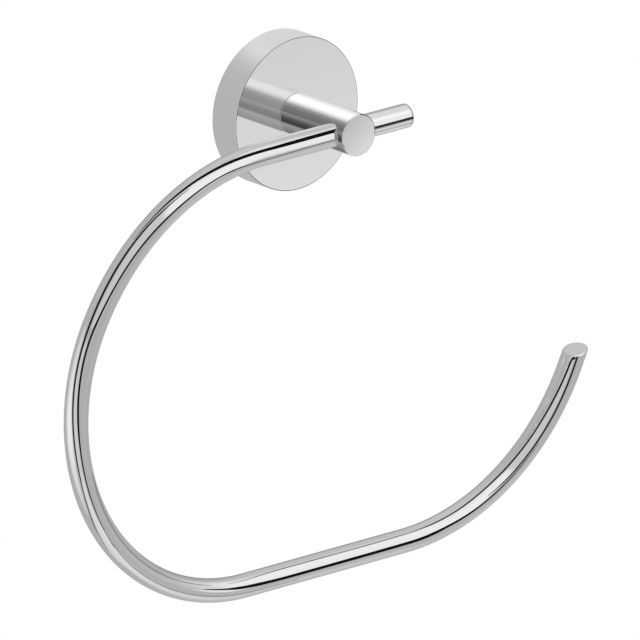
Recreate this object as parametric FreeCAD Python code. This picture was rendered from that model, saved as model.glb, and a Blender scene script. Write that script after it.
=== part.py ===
import FreeCAD, Part
import math
import os
from FreeCAD import Vector

# Open towel ring for a wall: rosette, post, and one bent bar held by its stub.
# Millimetres. The wall is the plane y = 0, the ring stands out along -Y and hangs along -Z.
# The origin is the centre of the rosette's back, on the wall.

# Rosette: a cup that covers the wall bracket
rosette_d = 55.0
rosette_depth = 12.5
rosette_side_wall = 2.2
rosette_face_wall = 2.5
rosette_edge = 0.5

# Post: a turned bar that stands on the rosette's face, with the ring's bar through it
post_d = 15.0
rod_axis_reach = 39.5
post_nose = 6.5
post_edge = 0.4

# Ring bar: straight runs joined by tangent bends, all in one upright plane
rod_d = 8.5
stub_reach = 27.0
top_run = 36.5
shoulder_r = 88.0
shoulder_turn_deg = 60.0
heel_r = 73.5
bottom_run = 71.5
lip_r = 86.0
lip_turn_deg = 64.0
tail_run = 5.0
tail_mitre_deg = 32.0
tail_tilt_deg = 10.0
rod_end_chamfer = 0.7

# Wall bracket: a disc with two slots and a V-groove round its rim
bracket_thickness = 6.0
bracket_centre_hole_d = 16.0
groove_half_angle_deg = 45.0
slot_spacing = 32.0
slot_width = 4.6
slot_length = 8.0
slot_sink_width = 8.6
slot_sink_depth = 2.4

# Screw that draws the post against the rosette
post_screw_d = 6.0
post_screw_length = 20.0
post_screw_head_d = 10.5
post_screw_head_height = 3.3
post_screw_head_rim = 1.0
post_screw_crown_d = 6.4
post_screw_point = 0.5
post_screw_key = 4.0
post_screw_key_depth = 2.0
post_tapping_spare = 1.5
washer_outer_d = 11.6
washer_thickness = 1.6
washer_split = 1.2
washer_split_lean_deg = 20.0

# Grub screws
rosette_grub_d = 4.0
rosette_grub_key = 2.0
rosette_grub_sunk = 0.3
rod_grub_d = 4.0
rod_grub_key = 2.0
rod_grub_sunk = 0.3
grub_key_depth = 1.4
grub_rim = 0.2
grub_point_d = 2.6

# Clearances
bracket_play = 0.15
bore_play = 0.04
thread_play = 0.02
screw_hole_play = 0.2
washer_play = 0.1
grub_seat_gap = 0.05
past_surface = 1.0

# Sizes that follow from the ones above
post_reach = rod_axis_reach + post_nose
rosette_r = rosette_d / 2
post_r = post_d / 2
rod_r = rod_d / 2
rosette_bore_r = rosette_r - rosette_side_wall
rosette_floor_y = -(rosette_depth - rosette_face_wall)
bracket_r = rosette_bore_r - bracket_play
groove_y = -bracket_thickness / 2
groove_slope = math.tan(math.radians(groove_half_angle_deg))
washer_inner_r = post_screw_d / 2 + washer_play
screw_seat_y = rosette_floor_y + washer_thickness
post_screw_tip_y = screw_seat_y - post_screw_length
rosette_grub_z = -(rosette_r - rosette_grub_sunk)
groove_mouth = rosette_grub_d / 2 + grub_seat_gap
groove_depth = groove_mouth / groove_slope

AXIS_OUT = Vector(0, -1, 0)
AXIS_WALL = Vector(0, 1, 0)
AXIS_UP = Vector(0, 0, 1)
AXIS_X = Vector(1, 0, 0)


def turned(profile):
    """Solid of revolution about the post's axis, from (radius, y) corners."""
    corners = [Vector(radius, y, 0) for radius, y in profile]
    face = Part.Face(Part.makePolygon(corners + corners[:1]))
    return face.revolve(Vector(0, 0, 0), AXIS_WALL, 360)


def hex_socket(across_flats, depth, mouth, inward):
    """Six-sided key recess, open at the point mouth and running inward."""
    corner_r = across_flats / math.sqrt(3)
    side = AXIS_X * corner_r
    turn = FreeCAD.Rotation(inward, 60)
    corners = [side]
    for _ in range(5):
        corners.append(turn.multVec(corners[-1]))
    start = mouth - inward * past_surface
    outline = Part.makePolygon([start + c for c in corners + corners[:1]])
    return Part.Face(outline).extrude(inward * (depth + past_surface))


def slot_bar(width, length, depth, centre, front_y):
    """Round-ended bar along X that cuts a slot from front_y towards the wall."""
    half_run = (length - width) / 2
    r = width / 2
    start = front_y - past_surface
    height = depth + past_surface
    left = Vector(centre.x - half_run, start, centre.z)
    right = Vector(centre.x + half_run, start, centre.z)
    bar = Part.makeCylinder(r, height, left, AXIS_WALL)
    bar = bar.fuse(Part.makeCylinder(r, height, right, AXIS_WALL))
    block_corner = Vector(left.x, start, centre.z - r)
    return bar.fuse(Part.makeBox(2 * half_run, height, width, block_corner)).removeSplitter()


def rosette():
    """Cup turned from bar, open to the wall, with a sharp bright front edge."""
    face_y = -rosette_depth
    hole_r = post_screw_d / 2 + screw_hole_play
    body = turned([
        (hole_r, face_y),
        (rosette_r - rosette_edge, face_y),
        (rosette_r, face_y + rosette_edge),
        (rosette_r, 0),
        (rosette_bore_r, 0),
        (rosette_bore_r, rosette_floor_y),
        (hole_r, rosette_floor_y),
    ])
    grub_hole = Part.makeCylinder(
        rosette_grub_d / 2 + thread_play,
        rosette_side_wall + 2 * past_surface,
        Vector(0, groove_y, -rosette_r - past_surface),
        AXIS_UP,
    )
    return body.cut(grub_hole)


def post():
    """Turned bar with a cross-bore, a tapped hole behind and a grub hole below."""
    back_y = -rosette_depth
    front_y = -post_reach
    body = turned([
        (0, back_y),
        (post_r, back_y),
        (post_r, front_y + post_edge),
        (post_r - post_edge, front_y),
        (0, front_y),
    ])
    bore = Part.makeCylinder(
        rod_r + bore_play,
        post_d + 2 * past_surface,
        Vector(-post_r - past_surface, -rod_axis_reach, 0),
        AXIS_X,
    )
    tapped_depth = -post_screw_tip_y - rosette_depth + post_tapping_spare
    tapped = Part.makeCylinder(
        post_screw_d / 2 + thread_play,
        tapped_depth + past_surface,
        Vector(0, back_y + past_surface, 0),
        AXIS_OUT,
    )
    grub_hole = Part.makeCylinder(
        rod_grub_d / 2 + thread_play,
        post_r + past_surface,
        Vector(0, -rod_axis_reach, -post_r - past_surface),
        AXIS_UP,
    )
    return body.cut(bore).cut(tapped).cut(grub_hole)


def bar_path():
    """Centreline from the stub's end, through the post, round to the free end."""
    edges = []
    here = Vector(stub_reach, -rod_axis_reach, 0)
    heading = math.pi

    def run(length):
        nonlocal here
        there = here + Vector(math.cos(heading), 0, math.sin(heading)) * length
        edges.append(Part.makeLine(here, there))
        here = there

    def bend(radius, turn_deg):
        nonlocal here, heading
        turn = math.radians(turn_deg)
        centre = here + Vector(-math.sin(heading), 0, math.cos(heading)) * radius

        def on_arc(angle):
            way = heading + angle
            return centre + Vector(math.sin(way), 0, -math.cos(way)) * radius

        edges.append(Part.Arc(here, on_arc(turn / 2), on_arc(turn)).toShape())
        here = on_arc(turn)
        heading += turn

    run(stub_reach + top_run)
    bend(shoulder_r, shoulder_turn_deg)
    bend(heel_r, 180 - shoulder_turn_deg)
    run(bottom_run)
    bend(lip_r, lip_turn_deg)
    run(tail_run)
    return Part.Wire(edges), here, heading


def ring_rod():
    """One bar: bent to the path, squared at the stub, cut slanting at the free end, edges broken."""
    path, end, heading = bar_path()
    section = Part.Wire(Part.makeCircle(rod_r, Vector(stub_reach, -rod_axis_reach, 0), AXIS_X))
    bar = path.makePipeShell([section], True, False)

    tail = Vector(math.cos(heading), 0, math.sin(heading))
    bar = bar.fuse(Part.makeCylinder(rod_r, rod_d, end, tail)).removeSplitter()
    mitre = heading + math.radians(tail_mitre_deg)
    tilt = math.radians(tail_tilt_deg)
    mitre_normal = Vector(
        math.cos(tilt) * math.cos(mitre), -math.sin(tilt), math.cos(tilt) * math.sin(mitre)
    )
    offcut = Part.makeCylinder(2 * rod_d, 4 * rod_d, end, mitre_normal)
    bar = bar.cut(offcut)

    def at_an_end(edge):
        centre = edge.BoundBox.Center
        near_stub = abs(centre.x - stub_reach) < rod_r / 10
        near_tail = (centre - end).Length < rod_r / 2
        return edge.Length > 2 * rod_d and (near_stub or near_tail)

    rims = [edge for edge in bar.Edges if at_an_end(edge)]
    print("bar: path", round(path.Length, 2), "mm, rims", len(rims))
    return bar.makeChamfer(rod_end_chamfer, rims)


def wall_bracket():
    """Disc screwed to the wall; the rosette's grub screw bites in the groove round its rim."""
    front_y = -bracket_thickness
    body = turned([
        (bracket_centre_hole_d / 2, 0),
        (bracket_r, 0),
        (bracket_r, groove_y + groove_mouth),
        (bracket_r - groove_depth, groove_y),
        (bracket_r, groove_y - groove_mouth),
        (bracket_r, front_y),
        (bracket_centre_hole_d / 2, front_y),
    ])
    through = bracket_thickness + past_surface
    for side in (-1, 1):
        centre = Vector(side * slot_spacing / 2, 0, 0)
        body = body.cut(slot_bar(slot_width, slot_length, through, centre, front_y))
        sink_length = slot_length + slot_sink_width - slot_width
        body = body.cut(slot_bar(slot_sink_width, sink_length, slot_sink_depth, centre, front_y))
    return body


def post_screw():
    """Button-head screw from inside the rosette into the back of the post."""
    head_r = post_screw_head_d / 2
    crown_r = post_screw_crown_d / 2
    top_y = screw_seat_y + post_screw_head_height
    shank_r = post_screw_d / 2
    body = turned([
        (0, post_screw_tip_y),
        (shank_r - post_screw_point, post_screw_tip_y),
        (shank_r, post_screw_tip_y + post_screw_point),
        (shank_r, screw_seat_y),
        (head_r, screw_seat_y),
        (head_r, screw_seat_y + post_screw_head_rim),
        (crown_r, top_y),
        (0, top_y),
    ])
    return body.cut(hex_socket(post_screw_key, post_screw_key_depth, Vector(0, top_y, 0), AXIS_OUT))


def lock_washer():
    """Split spring washer, pressed flat between the screw's head and the rosette."""
    ring = turned([
        (washer_inner_r, rosette_floor_y),
        (washer_outer_d / 2, rosette_floor_y),
        (washer_outer_d / 2, screw_seat_y),
        (washer_inner_r, screw_seat_y),
    ])
    reach = washer_outer_d
    height = washer_thickness * 3
    split = Part.makeBox(reach, height, washer_split, Vector(0, -height / 2, -washer_split / 2))
    split.rotate(Vector(0, 0, 0), AXIS_X, washer_split_lean_deg)
    split.translate(Vector(0, (rosette_floor_y + screw_seat_y) / 2, 0))
    return ring.cut(split)


def grub_screw(diameter, key, tip, length, point_d, cone):
    """Set screw that points up, with its tip at the point tip and a key socket below."""
    r = diameter / 2
    tip_r = 0.0 if cone else point_d / 2
    neck = (r - tip_r) / (groove_slope if cone else 1.0)
    corners = [
        (0, 0),
        (tip_r, 0),
        (r, -neck),
        (r, -length + grub_rim),
        (r - grub_rim, -length),
        (0, -length),
    ]
    points = [tip + Vector(radius, 0, z) for radius, z in corners]
    if cone:
        points = points[1:]
    face = Part.Face(Part.makePolygon(points + points[:1]))
    body = face.revolve(tip, AXIS_UP, 360)
    mouth = tip - AXIS_UP * length
    return body.cut(hex_socket(key, grub_key_depth, mouth, AXIS_UP))


def rosette_grub_screw():
    """Cone point in the bracket's groove, its socket just inside the rosette's rim."""
    tip_z = -(bracket_r - groove_depth) - grub_seat_gap * 2
    length = tip_z - rosette_grub_z
    tip = Vector(0, groove_y, tip_z)
    return grub_screw(rosette_grub_d, rosette_grub_key, tip, length, 0, True)


def rod_grub_screw():
    """Flat point against the underside of the bar, its socket just inside the post."""
    tip_z = -rod_r - thread_play
    length = post_r - rod_grub_sunk + tip_z
    tip = Vector(0, -rod_axis_reach, tip_z)
    return grub_screw(rod_grub_d, rod_grub_key, tip, length, grub_point_d, False)


pieces = {
    "rosette": rosette,
    "post": post,
    "ring_rod": ring_rod,
    "wall_bracket": wall_bracket,
    "post_screw": post_screw,
    "lock_washer": lock_washer,
    "rosette_grub_screw": rosette_grub_screw,
    "rod_grub_screw": rod_grub_screw,
}

os.makedirs("parts", exist_ok=True)
for name, make in pieces.items():
    shape = make()
    if shape.ShapeType == "Compound" and len(shape.Solids) == 1:
        shape = shape.Solids[0]
    box = shape.BoundBox
    print(name, shape.isValid(), len(shape.Solids), round(shape.Volume, 1),
          "x", round(box.XMin, 1), round(box.XMax, 1),
          "y", round(box.YMin, 1), round(box.YMax, 1),
          "z", round(box.ZMin, 1), round(box.ZMax, 1))
    shape.exportStep("parts/" + name + ".step")
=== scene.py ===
import math

import bpy
from mathutils import Matrix, Vector


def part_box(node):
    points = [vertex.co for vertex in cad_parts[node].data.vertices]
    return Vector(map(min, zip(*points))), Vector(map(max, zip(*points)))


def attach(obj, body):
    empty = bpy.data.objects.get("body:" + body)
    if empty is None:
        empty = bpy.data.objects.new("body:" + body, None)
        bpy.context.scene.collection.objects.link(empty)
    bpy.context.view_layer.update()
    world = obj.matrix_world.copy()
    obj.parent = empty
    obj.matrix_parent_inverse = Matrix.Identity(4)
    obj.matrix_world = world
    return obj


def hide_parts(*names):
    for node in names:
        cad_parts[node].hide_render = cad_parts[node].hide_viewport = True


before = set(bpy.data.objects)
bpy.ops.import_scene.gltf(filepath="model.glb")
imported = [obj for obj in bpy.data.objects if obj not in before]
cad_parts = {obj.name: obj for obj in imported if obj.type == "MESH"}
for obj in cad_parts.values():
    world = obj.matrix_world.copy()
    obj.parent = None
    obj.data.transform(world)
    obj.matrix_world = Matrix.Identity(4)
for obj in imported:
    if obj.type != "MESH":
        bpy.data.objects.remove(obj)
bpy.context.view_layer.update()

bpy.ops.object.select_all(action="DESELECT")

# Rosette
# The round cover on the wall: a cup turned from brass bar, polished and chrome plated outside.
# It hides the wall bracket, and one grub screw under its rim locks it there.
rosette_low, rosette_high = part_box("rosette")
rosette_r = (rosette_high[0] - rosette_low[0]) / 2
rosette_depth = rosette_high[1] - rosette_low[1]
rosette_side_wall = 0.0022
rosette_face_wall = 0.0025
rosette_edge = 0.0002
rosette_hole_r = 0.0032
rosette_grub_r = 0.00202
rosette_grub_y = -0.003
rosette_grub_reach = 0.004
rosette_sides = 256
drill_play = 0.001
flat_border = 0.0002
chrome_tone = (0.86, 0.87, 0.865)
clean_share = 1.01
hazy_share = 0.985
haze_roughening = 0.8
# Painted light on the chrome: the tone of painted dark lines and painted highlights, and where the
# rosette's lines lie over the face's edge.
painted_dark_line_tone = (0.12, 0.125, 0.12, 1.0)
painted_highlight_tone = (1.0, 1.0, 1.0, 1.0)
dull_inside_tone = (0.60, 0.59, 0.56, 1.0)
dull_inside_rise = 0.33
outer_painted_glint = (-0.00012, 0.00012)
inner_painted_glint = (0.0004, 0.0001)
painted_edge_shade_line = (0.00017, 0.00015)
painted_shade_left = 0.95
painted_shade_right = 0.45
line_softness = 0.3


class Wire:
    """A shader socket that takes part in plain arithmetic."""

    def __init__(self, tree, socket):
        self.tree = tree
        self.socket = socket

    def node(self, kind, settings=(), output=0, **sockets):
        """Any other node: its settings first, then the values or wires of its sockets."""
        made = self.tree.nodes.new(kind)
        for key, value in dict(settings).items():
            setattr(made, key, value)
        for key, value in sockets.items():
            place = int(key[1:]) if key[1:].isdigit() else key.replace("_", " ")
            if isinstance(value, Wire):
                self.tree.links.new(value.socket, made.inputs[place])
            else:
                made.inputs[place].default_value = value
        return Wire(self.tree, made.outputs[output])

    def math(self, operation, left, right=0.0):
        return self.node("ShaderNodeMath", {"operation": operation}, i0=left, i1=right)

    def vector(self, operation, other=(0, 0, 0), output=0):
        """Vector maths of this wire with another, or with a plain vector."""
        return self.node("ShaderNodeVectorMath", {"operation": operation}, output, i0=self, i1=other)

    def __add__(self, other):
        return self.math("ADD", self, other)

    __radd__ = __add__

    def __sub__(self, other):
        return self.math("SUBTRACT", self, other)

    def __rsub__(self, other):
        return self.math("SUBTRACT", other, self)

    def __mul__(self, other):
        return self.math("MULTIPLY", self, other)

    __rmul__ = __mul__

    def fade(self, full, none):
        """1 up to one value, 0 past the other, smooth between them."""
        return self.node("ShaderNodeMapRange", {"interpolation_type": "SMOOTHSTEP"},
                         i0=self, i1=full, i2=none, i3=1.0, i4=0.0)

    def tint(self, first, second):
        """The first colour where this wire is 0, the second where it is 1."""
        return self.node("ShaderNodeMix", {"data_type": "RGBA"}, 2, i0=self, i6=first, i7=second)

    def feed(self, socket):
        self.tree.links.new(self.socket, socket)


def new_metal(name):
    """A bare metal, and the piece's own coordinates in metres to work its finish out from."""
    material = bpy.data.materials.new(name)
    material.use_nodes = True
    tree = material.node_tree
    tree.nodes["Principled BSDF"].inputs["Metallic"].default_value = 1.0
    place = Wire(tree, tree.nodes.new("ShaderNodeTexCoord").outputs["Object"])
    return material, place


def from_post_axis(place):
    """Distance from the line through the middle of the rosette and the post."""
    return place.vector("MULTIPLY", (1, 0, 1)).vector("LENGTH", output="Value")


def axis_part(place, axis):
    return place.node("ShaderNodeSeparateXYZ", (), axis, Vector=place)


def line_at(across, middle, half_width):
    """1 on a thin line across which a measure runs, 0 beside it."""
    distance = across.math("ABSOLUTE", across - middle)
    return distance.fade(half_width * (1 - line_softness), half_width * (1 + line_softness))


def chrome_finish(place, smudge_size, gloss):
    """Colour and roughness of mirror chrome, with the faint haze of polishing and fingers."""
    haze = place.node("ShaderNodeTexNoise", Vector=place, Scale=1 / smudge_size, Detail=3.0)
    clean = (*(c * clean_share for c in chrome_tone), 1.0)
    hazy = (*(c * hazy_share for c in chrome_tone), 1.0)
    return haze.tint(clean, hazy), gloss + haze * (gloss * haze_roughening)


def wear(material, colour, rough):
    """Put a worked-out colour and roughness on a metal."""
    shader = material.node_tree.nodes["Principled BSDF"]
    colour.feed(shader.inputs["Base Color"])
    rough.feed(shader.inputs["Roughness"])


def edit(piece):
    """Open one piece in edit mode with nothing selected."""
    bpy.ops.object.select_all(action="DESELECT")
    piece.select_set(True)
    bpy.context.view_layer.objects.active = piece
    bpy.ops.object.mode_set(mode="EDIT")
    bpy.ops.mesh.select_all(action="DESELECT")
    bpy.ops.mesh.select_mode(type="FACE")


def pick_faces(piece, wanted):
    """Select the faces for which wanted(centre, normal) holds, and no others."""
    bpy.ops.object.mode_set(mode="OBJECT")
    mesh = piece.data
    for item in (*mesh.vertices, *mesh.edges, *mesh.polygons):
        item.select = False
    for face in mesh.polygons:
        face.select = wanted(face.center, face.normal)
    bpy.ops.object.mode_set(mode="EDIT")
    bpy.ops.mesh.select_mode(type="FACE")


def drill(piece, radius, start, end, sides=64):
    """Cut a round hole through a piece from start to end."""
    start, end = Vector(start), Vector(end)
    way = end - start
    bpy.ops.object.mode_set(mode="OBJECT")
    bpy.ops.mesh.primitive_cylinder_add(
        vertices=sides, radius=radius, depth=way.length, location=(start + end) / 2,
        rotation=way.to_track_quat("Z", "Y").to_euler(),
    )
    bit = bpy.context.object
    bpy.ops.object.select_all(action="DESELECT")
    piece.select_set(True)
    bpy.context.view_layer.objects.active = piece
    cut = piece.modifiers.new("hole", "BOOLEAN")
    cut.object = bit
    cut.solver = "EXACT"
    bpy.ops.object.modifier_apply(modifier=cut.name)
    bpy.data.objects.remove(bit)
    bpy.ops.object.mode_set(mode="EDIT")


def finish_mesh(piece, smooth_deg=30):
    """Weld, point the faces outwards and shade: round where it is round, flat where it is flat."""
    bpy.ops.mesh.select_all(action="SELECT")
    bpy.ops.mesh.remove_doubles(threshold=1e-7)
    bpy.ops.mesh.normals_make_consistent(inside=False)
    bpy.ops.object.mode_set(mode="OBJECT")
    bpy.ops.object.transform_apply(location=True, rotation=True, scale=True)
    bpy.ops.object.shade_smooth_by_angle(angle=math.radians(smooth_deg))
    even = piece.modifiers.new("normals", "WEIGHTED_NORMAL")
    even.weight = 50
    even.keep_sharp = True
    bpy.ops.object.modifier_apply(modifier=even.name)


bpy.ops.mesh.primitive_cylinder_add(
    vertices=rosette_sides, radius=rosette_r, depth=rosette_depth,
    location=(0, -rosette_depth / 2, 0), rotation=(math.pi / 2, 0, 0),
)
rosette = bpy.context.object
rosette.name = "rosette_cover"
bpy.ops.object.transform_apply(location=True, rotation=True, scale=True)
edit(rosette)
pick_faces(rosette, lambda centre, normal: normal.y < -0.9)
bpy.ops.mesh.region_to_loop()
bpy.ops.mesh.bevel(offset=rosette_edge, segments=4, affect="EDGES")
pick_faces(rosette, lambda centre, normal: normal.y < -0.999)
bpy.ops.mesh.inset(thickness=flat_border)
bpy.ops.mesh.inset(thickness=rosette_r - rosette_edge - flat_border - rosette_hole_r)
pick_faces(rosette, lambda centre, normal: normal.y > 0.9)
bpy.ops.mesh.inset(thickness=rosette_side_wall)
cup_depth = rosette_depth - rosette_face_wall
bpy.ops.mesh.extrude_region_move(TRANSFORM_OT_translate={"value": (0, -cup_depth, 0)})
bpy.ops.mesh.inset(thickness=rosette_r - rosette_side_wall - rosette_hole_r)
pick_faces(rosette, lambda centre, normal: abs(normal.y) > 0.999 and centre.xz.length < flat_border)
bpy.ops.mesh.bridge_edge_loops()
drill(rosette, rosette_grub_r, (0, rosette_grub_y, -rosette_r - drill_play),
      (0, rosette_grub_y, -rosette_r + rosette_grub_reach))
finish_mesh(rosette)

rosette_chrome, place = new_metal("rosette_chrome")
colour, rough = chrome_finish(place, smudge_size=0.012, gloss=0.015)
axis_distance = from_post_axis(place)
behind_face = axis_part(place, 1) - rosette_low[1]
over_edge = rosette_r - axis_distance - behind_face
# Painted highlights: two thin white lines, one on the rim just behind the face's edge and one on the
# face just inside it.
painted_highlight_line = place.math("MAXIMUM", line_at(over_edge, *outer_painted_glint), line_at(over_edge, *inner_painted_glint))
# Painted shade: a thin dark line on the face along its edge, darker towards the left.
leftness = axis_part(place, 0).fade(0, rosette_r)
painted_shade_darkness = painted_shade_right + leftness * (painted_shade_left - painted_shade_right)
painted_dark_line = line_at(over_edge, *painted_edge_shade_line) * painted_shade_darkness
inner = axis_distance.fade(rosette_r - rosette_side_wall, rosette_r - rosette_side_wall / 2)
inner = inner * (1 - behind_face.fade(rosette_face_wall / 2, rosette_face_wall * 0.9))
colour = painted_dark_line.tint(painted_highlight_line.tint(colour, painted_highlight_tone), painted_dark_line_tone)
wear(rosette_chrome, inner.tint(colour, dull_inside_tone), rough + inner * dull_inside_rise)
rosette.data.materials.append(rosette_chrome)
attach(rosette, "root")
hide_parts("rosette")

# Post
# A plain bar turned and chrome plated, drawn against the rosette by a screw from behind.
# The ring's bar passes through a cross-bore just behind its front face.
post_low, post_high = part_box("post")
post_r = (post_high[0] - post_low[0]) / 2
post_edge = 0.0003
post_sides = 384
post_grub_r = 0.00202
rod_low, rod_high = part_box("ring_rod")
rod_y = (rod_low[1] + rod_high[1]) / 2
rod_r = (rod_high[1] - rod_low[1]) / 2
bore_play = 0.00004
bore_sides = 192
# Painted shade in the joint where the post meets the rosette: its width and darkness.
seam_shade_width = 0.0002
seam_shade_darkness = 0.8
# Where the painted highlight and painted dark line lie over the post's front edge.
post_painted_line_fade = (0.00025, 0.0004)
post_painted_line_right = 0.0015
post_painted_line_rise = (0.002, 0.004)

bpy.ops.mesh.primitive_cylinder_add(
    vertices=post_sides, radius=post_r, depth=post_high[1] - post_low[1],
    location=(0, (post_low[1] + post_high[1]) / 2, 0), rotation=(math.pi / 2, 0, 0),
)
post = bpy.context.object
post.name = "post_bar"
bpy.ops.object.transform_apply(location=True, rotation=True, scale=True)
edit(post)
pick_faces(post, lambda centre, normal: normal.y < -0.9)
bpy.ops.mesh.region_to_loop()
bpy.ops.mesh.bevel(offset=post_edge, segments=4, affect="EDGES")
pick_faces(post, lambda centre, normal: normal.y < -0.999)
bpy.ops.mesh.inset(thickness=flat_border)
bore_reach = post_r + drill_play
drill(post, rod_r + bore_play, (-bore_reach, rod_y, 0), (bore_reach, rod_y, 0), bore_sides)
drill(post, post_grub_r, (0, rod_y, -bore_reach), (0, rod_y, -drill_play))
finish_mesh(post)

post_chrome, place = new_metal("post_chrome")
colour, rough = chrome_finish(place, smudge_size=0.010, gloss=0.020)
# Painted highlight round the front face's edge, with a painted dark line over it at its upper right.
behind_face = axis_part(place, 1) - post_low[1]
edge = place.math("MAXIMUM", post_r - from_post_axis(place), behind_face).fade(*post_painted_line_fade)
right = 1 - axis_part(place, 0).fade(0, post_painted_line_right)
upper = 1 - axis_part(place, 2).fade(*post_painted_line_rise)
# Painted shade: a thin dark ring at the post's back end, in the joint against the rosette.
seam_shade_mask = (post_high[1] - axis_part(place, 1)).fade(seam_shade_width / 2, seam_shade_width)
line = place.math("MAXIMUM", edge * right * upper, seam_shade_mask * seam_shade_darkness)
colour = edge.tint(colour, painted_highlight_tone)
wear(post_chrome, line.tint(colour, painted_dark_line_tone), rough)
post.data.materials.append(post_chrome)
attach(post, "root")
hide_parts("post")

# Ring bar
# One round bar, bent cold round three formers, then polished and chrome plated.
# Its stub end is sawn square, its free end at a slant, and both edges are rounded.
stub_x = 0.027
top_run = 0.0365
shoulder_r = 0.088
shoulder_turn = math.radians(60)
heel_r = 0.0735
bottom_run = 0.0715
lip_r = 0.086
lip_turn = math.radians(64)
tail_run = 0.005
tail_mitre = math.radians(32)
tail_tilt = math.radians(10)
saw_spare = 2 * rod_r
rod_edge = 0.0007
rod_edge_steps = 6
rod_sides = 128
turn_per_step = math.radians(1.0)
# Width of a painted dark reflection line round the stub end.
painted_stub_line_fade = (0.0001, 0.0002)
runs_before_tail = (
    (stub_x + top_run, 0), (shoulder_r, shoulder_turn), (heel_r, math.pi - shoulder_turn),
    (bottom_run, 0), (lip_r, lip_turn),
)


def bar_way(heading):
    """The direction of the bar at a heading, in the plane of the ring."""
    return Vector((math.cos(heading), 0, math.sin(heading)))


def bend_centre(point, heading, radius):
    """The middle of the former, which stands on the inner side of the ring."""
    return point + Vector((-math.sin(heading), 0, math.cos(heading))) * radius


def bent(point, centre, turn):
    """Where a point of the bar comes to lie when it is bent round a centre."""
    return centre + Matrix.Rotation(-turn, 3, "Y") @ (point - centre)


bpy.ops.mesh.primitive_circle_add(
    vertices=rod_sides, radius=rod_r, location=(stub_x, rod_y, 0), rotation=(0, math.pi / 2, 0),
)
rod = bpy.context.object
rod.name = "ring_bar"
bpy.ops.object.transform_apply(location=True, rotation=True, scale=True)
bpy.ops.object.mode_set(mode="EDIT")
bpy.ops.mesh.select_mode(type="EDGE")
bpy.ops.mesh.select_all(action="SELECT")
stub_end = Vector((stub_x, rod_y, 0))
tail_end = stub_end
heading = math.pi
for size, turn in runs_before_tail:
    if turn:
        centre = bend_centre(tail_end, heading, size)
        bpy.ops.mesh.spin(steps=round(turn / turn_per_step), angle=turn, center=centre, axis=(0, 1, 0))
        tail_end = bent(tail_end, centre, turn)
        heading += turn
    else:
        bpy.ops.mesh.extrude_region_move(TRANSFORM_OT_translate={"value": bar_way(heading) * size})
        tail_end = tail_end + bar_way(heading) * size
uncut_tail = bar_way(heading) * (tail_run + saw_spare)
bpy.ops.mesh.extrude_region_move(TRANSFORM_OT_translate={"value": uncut_tail})
bpy.ops.mesh.edge_face_add()
tail_end = tail_end + bar_way(heading) * tail_run

mitre_normal = bar_way(heading + tail_mitre) * math.cos(tail_tilt)
mitre_normal.y = -math.sin(tail_tilt)
pick_faces(rod, lambda centre, normal: (centre - tail_end).length < 3 * rod_r)
bpy.ops.mesh.bisect(plane_co=tail_end, plane_no=mitre_normal, use_fill=True, clear_outer=True)
bpy.ops.mesh.select_mode(type="EDGE")
bpy.ops.mesh.select_all(action="DESELECT")
bpy.ops.mesh.select_non_manifold(extend=False, use_boundary=True)
bpy.ops.mesh.edge_face_add()


def pick_end(end_point, end_normal):
    """Select the flat face at one end of the bar."""
    pick_faces(rod, lambda centre, normal: abs(normal.dot(end_normal)) > 0.9999
               and abs((centre - end_point).dot(end_normal)) < 1e-6
               and (centre - end_point).length < rod_r)


for end_point, end_normal in ((tail_end, mitre_normal), (stub_end, Vector((1, 0, 0)))):
    pick_end(end_point, end_normal)
    bpy.ops.mesh.region_to_loop()
    bpy.ops.mesh.bevel(offset=rod_edge, segments=rod_edge_steps, affect="EDGES")
    pick_end(end_point, end_normal)
    bpy.ops.mesh.inset(thickness=flat_border)
finish_mesh(rod)

bar_chrome, place = new_metal("bar_chrome")
colour, rough = chrome_finish(place, smudge_size=0.010, gloss=0.010)
# Painted reflection: a thin dark line round the stub end, where its rounded edge begins.
painted_stub_line = axis_part(place, 0) - (stub_x - rod_edge)
painted_stub_line = place.math("ABSOLUTE", painted_stub_line).fade(*painted_stub_line_fade)
painted_stub_line = painted_stub_line * place.math("GREATER_THAN", axis_part(place, 2), -2 * rod_r)
wear(bar_chrome, painted_stub_line.tint(colour, painted_dark_line_tone), rough)
rod.data.materials.append(bar_chrome)
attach(rod, "root")
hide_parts("ring_rod")
rod.visible_glossy = False

# Wall bracket
# A steel disc with two slots for wall screws and a groove round its rim, turned and punched.
# It is zinc plated, and the rosette hides it: only its back shows, from behind.
grains_per_cloud = 12
light_cloud_share = 1.06
dark_cloud_share = 0.9
grain_bump = 0.15
grain_depth = 0.00005


def dull_metal(name, tone, grain_size, gloss, uneven):
    """Plated or rolled steel: a soft shine, a little cloudy, with fine grain in its skin."""
    material, place = new_metal(name)
    cloud_size = grain_size * grains_per_cloud
    cloud = place.node("ShaderNodeTexNoise", Vector=place, Scale=1 / cloud_size, Detail=4.0)
    grain = place.node("ShaderNodeTexNoise", Vector=place, Scale=1 / grain_size, Detail=2.0)
    light = (*(min(1.0, c * light_cloud_share) for c in tone), 1.0)
    dark = (*(c * dark_cloud_share for c in tone), 1.0)
    wear(material, cloud.tint(light, dark), gloss + (cloud - 0.5) * uneven)
    bump = grain.node("ShaderNodeBump", Strength=grain_bump, Distance=grain_depth, Height=grain)
    bump.feed(material.node_tree.nodes["Principled BSDF"].inputs["Normal"])
    return material


def coat_node(node_name, material):
    """Give a piece that stays as the frame has it its finish."""
    for slot in bpy.data.objects[node_name].material_slots:
        slot.material = material


zinc_plate = dull_metal("zinc_plate", (0.66, 0.67, 0.69), grain_size=0.00045, gloss=0.34, uneven=0.25)
coat_node("wall_bracket", zinc_plate)

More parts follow.
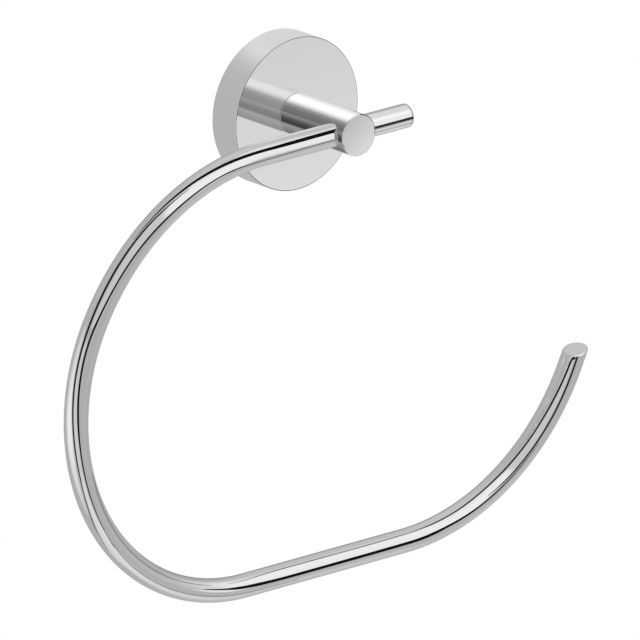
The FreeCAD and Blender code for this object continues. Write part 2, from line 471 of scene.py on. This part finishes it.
# Screws
# A button-head screw with its spring washer draws the post on, and two socket set screws
# hold the rosette and the bar. They are rolled from stainless steel and left as they are.
screw_grain = 0.00033
washer_grain = 0.00038
set_screw_steel = dull_metal("set_screw_steel", (0.36, 0.36, 0.37), screw_grain, gloss=0.38, uneven=0.2)
button_steel = dull_metal("button_screw_steel", (0.55, 0.55, 0.56), screw_grain, gloss=0.28, uneven=0.2)
spring_steel = dull_metal("spring_steel", (0.50, 0.51, 0.53), washer_grain, gloss=0.32, uneven=0.2)
coat_node("post_screw", button_steel)
coat_node("lock_washer", spring_steel)
coat_node("rosette_grub_screw", set_screw_steel)
coat_node("rod_grub_screw", set_screw_steel)

# Camera
# The photo looks down on the ring from its left, through a long lens from far off. This camera
# stands where the outlines of the rosette, the post and the bar fit it.
camera_azimuth = math.radians(-39.485)
camera_elevation = math.radians(18.044)
camera_roll = math.radians(-0.925)
camera_distance = 8.696
camera_aim_right = 0.016016
camera_aim_up = -0.0742
pixels_per_metre = 2888
image_width_px = 640
sensor_mm = 36

view_back = Vector((
    math.sin(camera_azimuth) * math.cos(camera_elevation),
    -math.cos(camera_azimuth) * math.cos(camera_elevation),
    math.sin(camera_elevation),
))
level_right = Vector((math.cos(camera_azimuth), math.sin(camera_azimuth), 0))
level_up = view_back.cross(level_right)
view_right = math.cos(camera_roll) * level_right + math.sin(camera_roll) * level_up
view_up = math.cos(camera_roll) * level_up - math.sin(camera_roll) * level_right
camera_data = bpy.data.cameras.new("camera")
camera_data.sensor_width = sensor_mm
camera_data.lens = pixels_per_metre * camera_distance * sensor_mm / image_width_px
camera = bpy.data.objects.new("camera", camera_data)
bpy.context.scene.collection.objects.link(camera)
camera_place = view_right * camera_aim_right + view_up * camera_aim_up + view_back * camera_distance
camera_turn = Matrix((view_right, view_up, view_back)).transposed()
camera.matrix_world = Matrix.Translation(camera_place) @ camera_turn.to_4x4()
bpy.context.scene.camera = camera

# Tent and light panels
# A ring of chrome is photographed in a grey tent, with soft lamps behind its cloth. Here the
# tent is a large shell that shines faintly. Brighter and darker panels hang before it, and only
# the chrome sees them, mirrored.
tent_radius = 4.0
tent_level = 0.485
tent_glows = (
    (140, 38, 0.11, 18), (135, -6, -0.20, 10), (120, 70, 0.15, 9), (85, -45, 0.11, 6),
    (-140, -10, 0.04, 20), (-135, 36, 0.06, 30), (49, -5, 0.10, 80),
)
panel_side_steps = 4
panel_rings = 10
panel_first = 0.97
panel_spacing = 0.03
dim_tone = (0.965, 1.0, 0.985)


def glow(name):
    """A surface that only shines, and the piece's own coordinates in metres."""
    material = bpy.data.materials.new(name)
    material.use_nodes = True
    tree = material.node_tree
    tree.nodes.clear()
    place = Wire(tree, tree.nodes.new("ShaderNodeTexCoord").outputs["Object"])
    return material, place


def tinged(light, tone=dim_tone):
    """The colour of a light that varies: the tone where it is dim, white where it is full."""
    hue = light.tint((*tone, 1.0), (1.0, 1.0, 1.0, 1.0))
    return light.node("ShaderNodeVectorMath", {"operation": "SCALE"}, i0=hue, Scale=light)


def shine(material, place, colour, cover=None):
    """Shine with a colour, and be seen through where cover is 0."""
    surface = place.node("ShaderNodeEmission", Color=colour)
    if cover is not None:
        clear = place.node("ShaderNodeBsdfTransparent")
        surface = place.node("ShaderNodeMixShader", i0=cover, i1=clear, i2=surface)
    output = material.node_tree.nodes.new("ShaderNodeOutputMaterial")
    surface.feed(output.inputs["Surface"])


def only_in_mirrors(thing):
    """Keep a card, panel or strip out of the picture, the shadows and the soft light."""
    thing.visible_camera = False
    thing.visible_diffuse = False
    thing.visible_shadow = False
    thing.visible_transmission = False
    thing.visible_volume_scatter = False


def hang(name, verts, faces, material, **measures):
    """Hang up a card or panel of plain faces, with measures such as light at each corner."""
    mesh = bpy.data.meshes.new(name)
    mesh.from_pydata(verts, [], faces)
    for measure, values in measures.items():
        mesh.attributes.new(measure, "FLOAT", "POINT").data.foreach_set("value", values)
    mesh.materials.append(material)
    mesh.update()
    thing = bpy.data.objects.new(name, mesh)
    bpy.context.scene.collection.objects.link(thing)
    only_in_mirrors(thing)
    return thing


def toward(azimuth, elevation):
    """The way to look, by degrees right of straight ahead of the wall, and degrees up."""
    azimuth, elevation = math.radians(azimuth), math.radians(elevation)
    flat = math.cos(elevation)
    return Vector((flat * math.sin(azimuth), -flat * math.cos(azimuth), math.sin(elevation)))


def glow_toward(way, side, rise, focus):
    """More light (or less, where rise is negative) round one direction."""
    falloff = (way.vector("DOT_PRODUCT", side, "Value") - 1) * focus
    return falloff.math("EXPONENT", falloff) * rise


bpy.ops.mesh.primitive_ico_sphere_add(subdivisions=4, radius=tent_radius)
tent = bpy.context.object
tent.name = "tent"
tent_cloth, place = glow("tent_grey")
way = place.vector("NORMALIZE")
light = tent_level
for azimuth, elevation, rise, focus in tent_glows:
    light = light + glow_toward(way, toward(azimuth, elevation), rise, focus)
shine(tent_cloth, place, tinged(light))
tent.data.materials.append(tent_cloth)
only_in_mirrors(tent)


def panel(name, middle_level, order, soft, corners):
    """A light panel before the tent: the light of its middle, its order from the tent inwards,
    how much of it is soft rim, and the degrees right, degrees up and light of each corner."""
    outline, rim_levels = [], []
    for i, corner in enumerate(corners):
        following = corners[(i + 1) % len(corners)]
        for step in range(panel_side_steps):
            part = step / panel_side_steps
            azimuth, elevation, level = (a * (1 - part) + b * part for a, b in zip(corner, following))
            outline.append(toward(azimuth, elevation))
            rim_levels.append(level)
    middle = sum(outline, Vector()).normalized()
    radius = tent_radius * (panel_first - panel_spacing * order)
    verts, covers, levels, faces = [middle * radius], [1.0], [middle_level], []
    for ring in range(1, panel_rings + 1):
        share = ring / panel_rings
        verts += [middle.lerp(point, share).normalized() * radius for point in outline]
        covers += [min(1.0, (1 - share) / soft)] * len(outline)
        levels += [middle_level + (level - middle_level) * share for level in rim_levels]
    count = len(outline)
    for i in range(count):
        following = (i + 1) % count
        faces.append((0, 1 + i, 1 + following))
        for ring in range(panel_rings - 1):
            low, high = 1 + ring * count, 1 + (ring + 1) * count
            faces.append((low + i, high + i, high + following, low + following))
    material, place = glow(name)
    light = place.node("ShaderNodeAttribute", {"attribute_name": "light"}, "Fac")
    cover = place.node("ShaderNodeAttribute", {"attribute_name": "cover"}, "Fac")
    shine(material, place, tinged(light), cover.fade(1.0, 0.0))
    hang(name, verts, faces, material, light=levels, cover=covers)


panel("panel_low", 0.82, 0, 0.12,
      ((-128, -62, 0.62), (-100, -62, 0.66), (-75, -58, 0.68), (-50, -46, 0.76), (-36, -30, 0.80),
       (-20, -23, 0.80), (-12, -40, 0.80), (5, -44, 0.72), (20, -40, 0.66), (50, -40, 0.65),
       (64, -46, 0.65), (90, -53, 0.64), (98, -66, 0.60), (80, -80, 0.62), (0, -86, 0.78),
       (-100, -82, 0.72), (-132, -76, 0.60)))
panel("panel_mid_left", 0.67, 2, 0.1,
      ((-80, 18, 0.67), (-60, 20, 0.67), (-35, 8, 0.67), (-12, -18, 0.7), (-20, -32, 0.7),
       (-52, -46, 0.7), (-80, -20, 0.67)))
panel("panel_left", 0.97, 3, 0.12,
      ((-152, 8, 0.52), (-142, 18, 0.55), (-122, 27, 0.70), (-106, 22, 0.85), (-98, 4, 0.95),
       (-86, -8, 0.95), (-76, -20, 0.93), (-72, -33, 0.87), (-70, -48, 0.74), (-80, -58, 0.6),
       (-112, -57, 0.6), (-122, -44, 0.62), (-132, -30, 0.68), (-142, -18, 0.62), (-150, -5, 0.55)))
panel("panel_front_left", 0.65, 4, 0.08,
      ((-66, 70, 0.65), (-30, 80, 0.65), (10, 78, 0.7), (12, 10, 0.65), (-10, 6, 0.65),
       (-28, 6, 0.65), (-40, 18, 0.65), (-66, 22, 0.65)))
panel("panel_low_front", 0.475, 5, 0.06,
      ((-26, 6, 0.5), (-8, 6, 0.48), (16, 8, 0.46), (30, 2, 0.47), (40, -14, 0.52), (38, -30, 0.5),
       (28, -44, 0.49), (4, -44, 0.5), (-8, -22, 0.5)))
panel("panel_right_low", 0.45, 6, 0.1,
      ((56, 7, 0.51), (80, 5, 0.48), (116, 0, 0.52), (114, -30, 0.52), (80, -38, 0.51), (56, -30, 0.5),
       (50, -18, 0.48), (50, -6, 0.49)))
panel("panel_shoulder", 0.92, 7, 0.1,
      ((42, -4, 0.60), (44, 30, 0.97), (44, 60, 0.97), (66, 68, 0.80), (96, 64, 0.62), (114, 46, 0.55),
       (104, 26, 0.52), (92, 12, 0.48), (64, 6, 0.50)))
panel("panel_front", 0.98, 8, 0.15,
      ((-21, 64, 0.92), (0, 80, 0.8), (45, 82, 0.8), (60, 72, 0.85), (60, 50, 0.97), (58, 32, 0.97),
       (48, 14, 0.95), (42, -12, 0.92), (38, -19, 0.9), (33, -14, 0.95), (25, 1, 0.97), (12, 12, 0.97),
       (4, 27, 0.97), (-6, 42, 0.95)))

# Light cards, which paint reflections
# Glowing cards held close to the rosette's face, its rim and the post's face, and a glowing sleeve
# round the post. Each stands where its chrome mirrors this camera's view and paints the reflected
# light and shade there. Each is seen only by the chrome that it is meant for, close to it.
card_sides = 64
card_play = 0.05
rosette_card_away = 0.048
rosette_card_margin = 0.003
rosette_card_tone = (1.02, 0.995, 0.96)
post_card_away = 0.002
post_card_margin = 0.0005
post_card_tone = (0.97, 1.0, 0.99)
rim_card_y = 0.005
rim_card_sight = 0.028
rim_card_reach = 0.060
rim_dark_level = 0.515
rim_lights = ((75, 0.25, 4), (108, 0.14, 30))
sleeve_r = post_r + 0.0002
sleeve_end_play = 0.0001
sleeve_sight = 0.0018
sleeve_steps = 64
sleeve_light = (
    (-0.97, 0.82), (-0.90, 0.88), (-0.78, 1.15), (-0.56, 1.15), (-0.41, 0.72), (-0.33, 0.38),
    (-0.17, 0.22), (0.08, 0.17), (0.16, 0.29), (0.34, 0.10), (0.51, 0.045), (0.56, 0.10),
    (0.63, 0.37), (0.97, 0.17),
)
mirrored_twice_share = 0.67
mirrored_twice_rise = 0.24


def within(place, nearest, furthest, front_only=True):
    """1 for a mirror whose distance lies between two values, and that looks at the front."""
    length = place.node("ShaderNodeLightPath", (), "Ray Length")
    seen = length.math("GREATER_THAN", length, nearest) * length.math("LESS_THAN", length, furthest)
    if front_only:
        seen = seen * (1 - length.node("ShaderNodeNewGeometry", (), "Backfacing"))
    return seen


def mirrored_way(normal):
    """The way that a camera ray goes after a mirror that faces along this normal."""
    return -view_back + 2 * view_back.dot(normal) * normal


face_ray = mirrored_way(Vector((0, -1, 0)))


def face_card(name, face_y, radius, away, dark_side, light_level, dark_level, tone):
    """A glowing round card that fills what a flat face mirrors, a painted reflection darker towards one
    side.
    """
    length = away / -face_ray.y
    middle = Vector((0, face_y, 0)) + face_ray * length
    rim = [middle + Vector((math.sin(a), 0, math.cos(a))) * radius
           for a in (math.tau * i / card_sides for i in range(card_sides))]
    material, place = glow(name)
    across = place.vector("DOT_PRODUCT", dark_side, "Value")
    at_middle = middle.dot(dark_side)
    light = across.node("ShaderNodeMapRange", i0=across, i1=at_middle - radius, i2=at_middle + radius,
                        i3=light_level, i4=dark_level)
    seen = within(place, (1 - card_play) * length, (1 + card_play) * length)
    shine(material, place, tinged(light, tone), seen)
    card = hang(name, rim, [range(card_sides)], material)
    if card.data.polygons[0].normal.y < 0:
        card.data.flip_normals()


face_card("card_rosette", rosette_low[1], rosette_r + rosette_card_margin, rosette_card_away,
          Vector((0, 0, 1)), 0.82, 0.72, rosette_card_tone)
face_card("card_post", post_low[1], post_r + post_card_margin, post_card_away,
          Vector((-0.6, 0, 0.8)), 0.83, 0.56, post_card_tone)

# The rim card is brighter round its top, and paints the rim's reflected light and shade.
material, place = glow("card_rim")
way = place.vector("MULTIPLY", (1, 0, 1)).vector("NORMALIZE")
light = rim_dark_level
for turned, rise, focus in rim_lights:
    side = Vector((math.cos(math.radians(turned)), 0, math.sin(math.radians(turned))))
    light = light + glow_toward(way, side, rise, focus)
shine(material, place, tinged(light), within(place, 0, rim_card_sight))
corner = rim_card_reach
hang("card_rim", [(-corner, rim_card_y, -corner), (corner, rim_card_y, -corner),
                  (corner, rim_card_y, corner), (-corner, rim_card_y, corner)], [(0, 1, 2, 3)], material)

post_side = Vector((0, 1, 0)).cross(-view_back).normalized()
if post_side.z > 0:
    post_side = -post_side
post_front = Vector((view_back.x, 0, view_back.z)).normalized()


def on_sleeve(across):
    """The point of the sleeve that the post mirrors at a place across it, -1 up to 1 down."""
    normal = post_side * across + post_front * math.sqrt(1 - across * across)
    way = mirrored_way(normal)
    way = Vector((way.x, 0, way.z)).normalized()
    start = normal * post_r
    lean = start.dot(way)
    return start + way * (math.sqrt(lean * lean + sleeve_r ** 2 - post_r ** 2) - lean)


def sleeve_level(across):
    """The sleeve's light at a place across the post, on a straight line between two stops."""
    for (start, level), (end, next_level) in zip(sleeve_light, sleeve_light[1:]):
        if across <= end:
            break
    return level + (next_level - level) * (across - start) / (end - start)


# The sleeve paints the post's reflected light and shade, from the stops of its light across the post.
verts, faces, lights = [], [], []
sleeve_start, sleeve_end = sleeve_light[0][0], sleeve_light[-1][0]
for step in range(sleeve_steps + 1):
    across = sleeve_start + (sleeve_end - sleeve_start) * step / sleeve_steps
    point = on_sleeve(across)
    verts.append((point.x, rosette_low[1] - sleeve_end_play, point.z))
    verts.append((point.x, post_low[1] + sleeve_end_play, point.z))
    lights += [sleeve_level(across)] * 2
    if step:
        last = 2 * step
        faces.append((last - 2, last - 1, last + 1, last))
material, place = glow("sleeve")
level = place.node("ShaderNodeAttribute", {"attribute_name": "light"}, "Fac")
# Seen again by way of the rosette's face, the sleeve's light is dimmed and lifted: this paints the
# post's mirror image in the rosette paler.
depth = place.node("ShaderNodeLightPath", (), "Glossy Depth")
twice = depth.math("GREATER_THAN", depth, 1.5)
light = level + twice * (mirrored_twice_rise - (1 - mirrored_twice_share) * level)
shine(material, place, tinged(light), within(place, 0, sleeve_sight))
sleeve = hang("sleeve", verts, faces, material, light=lights)
middle = sleeve.data.polygons[len(faces) // 2]
if middle.normal.dot(Vector((middle.center.x, 0, middle.center.z))) > 0:
    sleeve.data.flip_normals()

# Mirrored lines, painted by strips
# Dark and light strips laid along the bar where it mirrors this camera's view, which paint the lines
# of reflected light and shade along it. Each is a strip that hangs close to the bar, seen only by
# the bar beside it.
strip_reach = 0.025
stub_strip_reach = 0.008
strip_sight = 1.6
strip_fullness = 1.55
stub_strips = (
    ("top", -0.66, 0.20, 0.80), ("white", -0.22, 0.14, 1.10), ("black", 0.335, 0.175, 0.03),
    ("light", 0.58, 0.07, 0.84), ("grey", 0.75, 0.05, 0.54), ("edge", 0.86, 0.06, 0.86),
)


def along_bar(distance):
    """A point of the bar's own line and its way, at a distance from the stub end."""
    point = stub_end
    heading = math.pi
    for size, turn in runs_before_tail:
        part = min(distance, size * turn if turn else size)
        if turn:
            point = bent(point, bend_centre(point, heading, size), part / size)
            heading += part / size
        else:
            point = point + bar_way(heading) * part
        distance -= part
    return point + bar_way(heading) * distance, bar_way(heading)


def mirror_strip(name, level, stops, reach=strip_reach):
    """A strip that the bar mirrors as a painted reflected line: mm along the bar, place across it, line
    width.
    """
    curve = bpy.data.curves.new(name, "CURVE")
    curve.dimensions = "3D"
    curve.bevel_depth = 1.0
    curve.bevel_resolution = 4
    curve.use_fill_caps = True
    spline = curve.splines.new("NURBS")
    spline.points.add(len(stops) - 1)
    for target, (along, across, width) in zip(spline.points, stops):
        centre, way = along_bar(along / 1000)
        side = way.cross(-view_back).normalized()
        front = side.cross(way)
        if front.dot(view_back) < 0:
            front = -front
        steep = math.sqrt(1 - across * across)
        normal = side * across + front * steep
        target.co = (*(centre + normal * rod_r + mirrored_way(normal) * reach), 1)
        slant = math.sqrt(1 - way.dot(view_back) ** 2)
        target.radius = strip_fullness * reach * slant * width / steep
    spline.order_u = 3
    spline.use_endpoint_u = True
    full = min(1.0, level)
    colour = (*(level * (full + (1 - full) * tone) for tone in dim_tone), 1.0)
    material, place = glow(name)
    shine(material, place, colour, within(place, 0, strip_sight * reach, False))
    curve.materials.append(material)
    strip = bpy.data.objects.new(name, curve)
    bpy.context.scene.collection.objects.link(strip)
    only_in_mirrors(strip)


for name, across, width, level in stub_strips:
    stops = [(along, across, width) for along in (-6, 4, 20.5)]
    mirror_strip("strip_stub_" + name, level, stops, stub_strip_reach)
mirror_strip("strip_end", 0.01, ((480.5, -0.42, 0.03), (481, -0.25, 0.03), (481, -0.06, 0.03)))
mirror_strip("strip_top_outer", 0.006,
             ((26, -0.30, 0.20), (50, -0.25, 0.22), (67, -0.17, 0.17), (84, -0.30, 0.14),
              (101, -0.45, 0.11), (114, -0.52, 0.07), (126, -0.55, 0.02)))
mirror_strip("strip_inner_start", 0.20,
             ((28, 0.43, 0.06), (38, 0.44, 0.06), (51, 0.48, 0.06), (67, 0.61, 0.06),
              (76, 0.50, 0.05), (88, 0.39, 0.02)))
mirror_strip("strip_inner", 0.012,
             ((70, 0.58, 0.02), (79, 0.43, 0.05), (91, 0.38, 0.08), (109, 0.38, 0.09),
              (127, 0.24, 0.095), (150, 0.17, 0.095), (165, -0.02, 0.115), (178, 0.05, 0.115),
              (188, 0.15, 0.11), (203, 0.26, 0.08), (221, 0.18, 0.055), (241, -0.11, 0.02)))
mirror_strip("strip_inner_end", 0.30,
             ((225, 0.13, 0.03), (241, -0.11, 0.06), (266, -0.29, 0.065), (292, -0.47, 0.06),
              (307, -0.62, 0.05), (330, -0.72, 0.03)))
mirror_strip("strip_outer", 0.012,
             ((100, -0.22, 0.03), (109, -0.25, 0.05), (119, -0.37, 0.09), (134, -0.42, 0.115),
              (150, -0.39, 0.115), (175, -0.37, 0.085), (188, -0.27, 0.08), (203, -0.16, 0.08),
              (213, -0.16, 0.065), (220, -0.26, 0.02)))
mirror_strip("strip_outer_end", 0.14,
             ((208, -0.16, 0.03), (215, -0.19, 0.06), (223, -0.32, 0.06), (233, -0.55, 0.05),
              (241, -0.65, 0.02)))
mirror_strip("strip_heel", 0.20,
             ((213, 0.89, 0.04), (228, 0.75, 0.045), (246, 0.62, 0.045), (266, 0.54, 0.045),
              (289, 0.45, 0.03)))
mirror_strip("strip_bottom_outer", 0.006,
             ((289, 0.10, 0.05), (299, 0.03, 0.11), (307, -0.15, 0.15), (320, -0.30, 0.16),
              (342, -0.30, 0.165), (368, -0.29, 0.17), (386, -0.30, 0.16), (396, -0.30, 0.145),
              (406, -0.40, 0.115), (419, -0.48, 0.085), (431, -0.53, 0.055), (446, -0.56, 0.02)))
mirror_strip("strip_lip_inner_start", 0.20,
             ((300, 0.42, 0.02), (315, 0.47, 0.055), (330, 0.48, 0.06), (348, 0.46, 0.06),
              (368, 0.45, 0.06), (386, 0.49, 0.06), (396, 0.42, 0.02)))
mirror_strip("strip_lip_inner", 0.012,
             ((378, 0.48, 0.02), (388, 0.50, 0.055), (401, 0.37, 0.075), (421, 0.38, 0.085),
              (441, 0.25, 0.09), (457, 0.20, 0.09), (469, 0.09, 0.09), (486, -0.08, 0.09)))
mirror_strip("strip_lip_outer", 0.012,
             ((419, -0.23, 0.03), (431, -0.37, 0.07), (444, -0.41, 0.095), (464, -0.42, 0.10),
              (486, -0.34, 0.10)))

# Floor and backdrop
# White paper, which is the photo's plain white ground. The camera sees it full white but for
# the last trace of the ring's shadow, and the sky beyond its edge is white as well.
floor_size = 8
floor_z = -0.3
floor_whiteness = 0.98
paper_tone = (0.9, 0.9, 0.9, 1)
paper_roughness = 0.9
bpy.ops.mesh.primitive_plane_add(size=floor_size, location=(0, 0, floor_z))
floor = bpy.context.object
floor.name = "floor"
paper = bpy.data.materials.new("white_paper")
paper.use_nodes = True
paper_shader = paper.node_tree.nodes["Principled BSDF"]
paper_shader.inputs["Base Color"].default_value = paper_tone
paper_shader.inputs["Roughness"].default_value = paper_roughness
path = paper.node_tree.nodes.new("ShaderNodeLightPath")
seen = Wire(paper.node_tree, path.outputs["Is Camera Ray"])
for kind in ("Is Glossy Ray", "Is Transmission Ray"):
    seen = seen.math("MAXIMUM", seen, Wire(paper.node_tree, path.outputs[kind]))
white = seen.node("ShaderNodeEmission")
paper_skin = Wire(paper.node_tree, paper_shader.outputs[0])
skin = seen.node("ShaderNodeMixShader", i0=seen * floor_whiteness, i1=paper_skin, i2=white)
skin.feed(paper.node_tree.nodes["Material Output"].inputs["Surface"])
floor.data.materials.append(paper)
floor.visible_glossy = False

world = bpy.data.worlds.new("studio")
world.use_nodes = True
bpy.context.scene.world = world
world.node_tree.nodes["Background"].inputs["Color"].default_value = (1, 1, 1, 1)
bpy.context.scene.view_settings.view_transform = "Standard"
